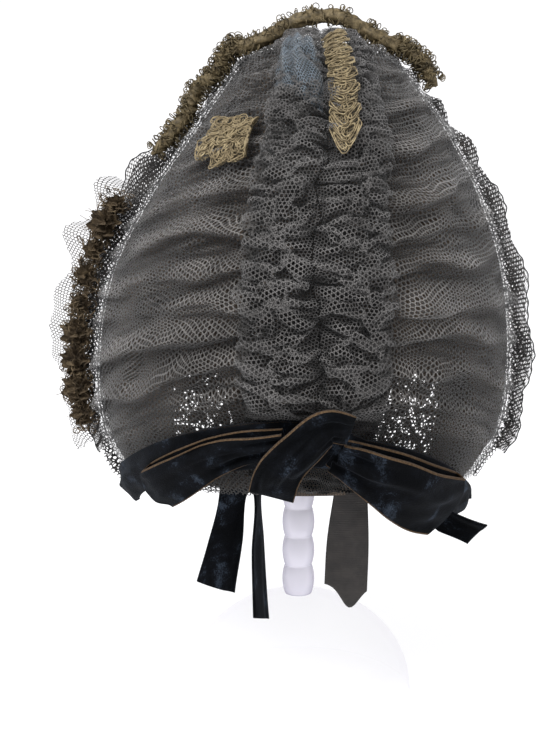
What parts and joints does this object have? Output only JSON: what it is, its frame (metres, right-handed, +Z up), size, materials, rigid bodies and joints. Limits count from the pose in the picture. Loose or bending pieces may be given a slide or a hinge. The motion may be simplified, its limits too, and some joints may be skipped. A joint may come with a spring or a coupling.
{
  "type": "poke bonnet on a display stand",
  "caption": "Poke bonnet of draped and ruched black net with a velvet bow at the nape, a garland and lace on its brim, on a clear beaded acrylic stand.",
  "frame": {"origin": "centre of the stand foot's flat underside, on the table", "axes": "+Z up along the stem; +Y the way a wearer looks, so the back of the bonnet faces -Y; +X to the wearer's right"},
  "size_m": [0.2581, 0.205, 0.3647],
  "materials": {
    "stiffened_shell": "taupe-brown stiffened cotton net, matte",
    "silk_net": "faded black silk bobbinet, matte, open mesh",
    "silk_velvet": "blue-black silk velvet ribbon with a crushed pile and a brown selvage",
    "velvet_reverse": "grey-brown satin back of the velvet ribbon",
    "metallic_lace": "tarnished olive-tan gimp lace",
    "garland_gauze": "brown-black gathered gauze and chenille",
    "clear_acrylic": "clear cast acrylic with a faint lavender tint, polished"
  },
  "bodies": {
    "root": {"shell": "stiffened_shell", "net_drape_left": "silk_net", "net_drape_right": "silk_net", "ruched_strip": "silk_net", "brim_frill": "silk_net", "crown_puff": "silk_net", "nape_band": "silk_velvet", "bow_loop_left": "silk_velvet", "bow_loop_right": "silk_velvet", "bow_knot": "silk_velvet", "ribbon_tail_left": "silk_velvet", "ribbon_tail_narrow": "silk_velvet", "ribbon_tail_right": "velvet_reverse", "ribbon_tail_side": "silk_velvet", "lace_tab": "metallic_lace", "lace_fall": "metallic_lace", "lace_roll": "metallic_lace", "garland_cord": "garland_gauze", "blossom_1": "garland_gauze", "blossom_2": "garland_gauze", "blossom_3": "garland_gauze", "blossom_4": "garland_gauze", "blossom_5": "garland_gauze", "blossom_6": "garland_gauze", "blossom_7": "garland_gauze", "blossom_8": "garland_gauze", "blossom_9": "garland_gauze", "stand_foot": "clear_acrylic", "stand_stem": "clear_acrylic", "stand_head": "clear_acrylic"}
  },
  "joints": []
}
